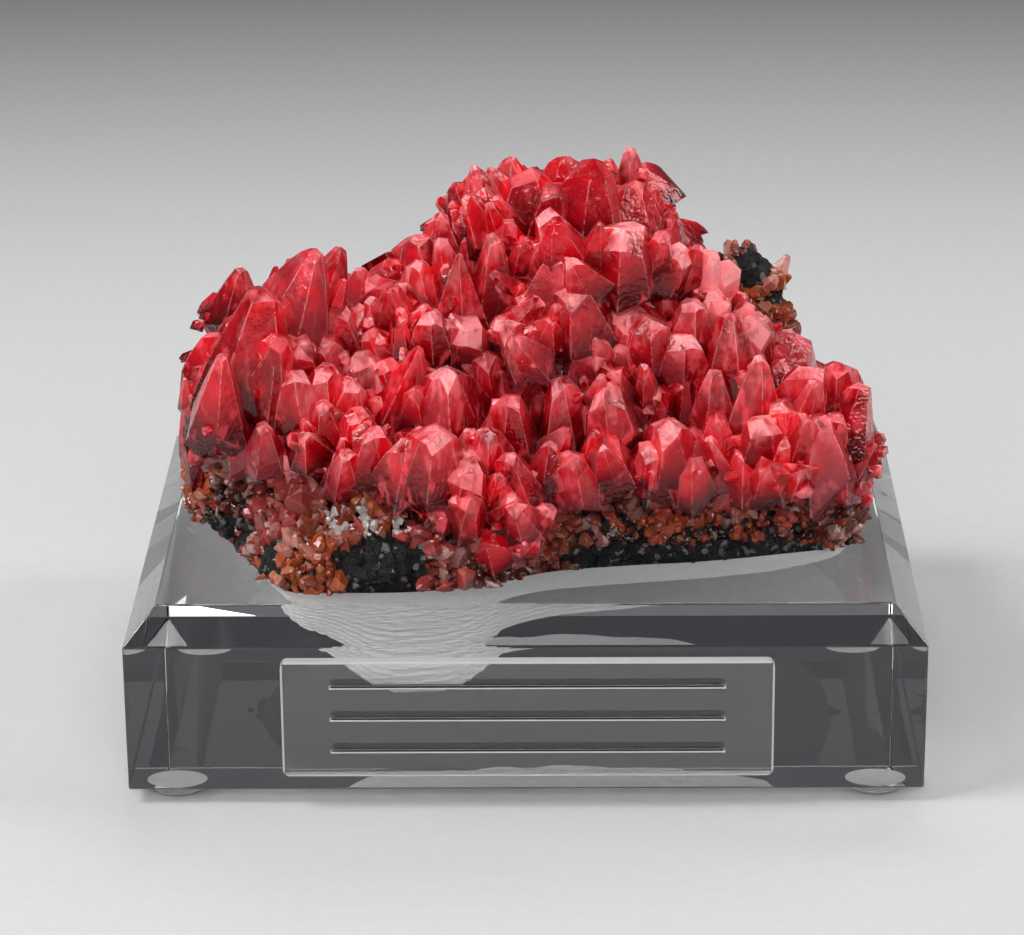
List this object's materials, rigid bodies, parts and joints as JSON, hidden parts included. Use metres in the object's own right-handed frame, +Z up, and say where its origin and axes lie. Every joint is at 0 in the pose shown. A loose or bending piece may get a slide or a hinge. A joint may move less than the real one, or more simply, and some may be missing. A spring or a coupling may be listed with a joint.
{
  "type": "rhodochrosite specimen on acrylic base",
  "caption": "Cluster of red rhodochrosite crystals on dark rock, seated in the milled pocket of a bevelled clear acrylic display block with a blank label plate.",
  "frame": {"origin": "on the surface the object stands on, under the middle of its footprint", "axes": "+X along the block's long side, to the right as seen from the label; +Y away from the label; +Z up"},
  "size_m": [0.1016, 0.0778, 0.077],
  "materials": {
    "clear_acrylic": "polished clear acrylic, with a frosted milled pocket",
    "label_acrylic": "clear acrylic plate with frosted edges and plain engraved lines",
    "bumper": "clear soft polyurethane dome",
    "black_rock": "granular manganese ore with small glints",
    "rhodochrosite": "translucent glassy to frosted red crystals",
    "brown_crust": "small glassy orange and brown crystals"
  },
  "bodies": {
    "root": {"acrylic_base": "clear_acrylic", "label_plate": "label_acrylic", "foot_front_left": "bumper", "foot_front_right": "bumper", "foot_back_left": "bumper", "foot_back_right": "bumper", "matrix": "black_rock", "rhodochrosite_crystals": "rhodochrosite", "crust_front_left": "brown_crust", "crust_front_right": "brown_crust", "crust_upper_right": "brown_crust"}
  },
  "joints": []
}
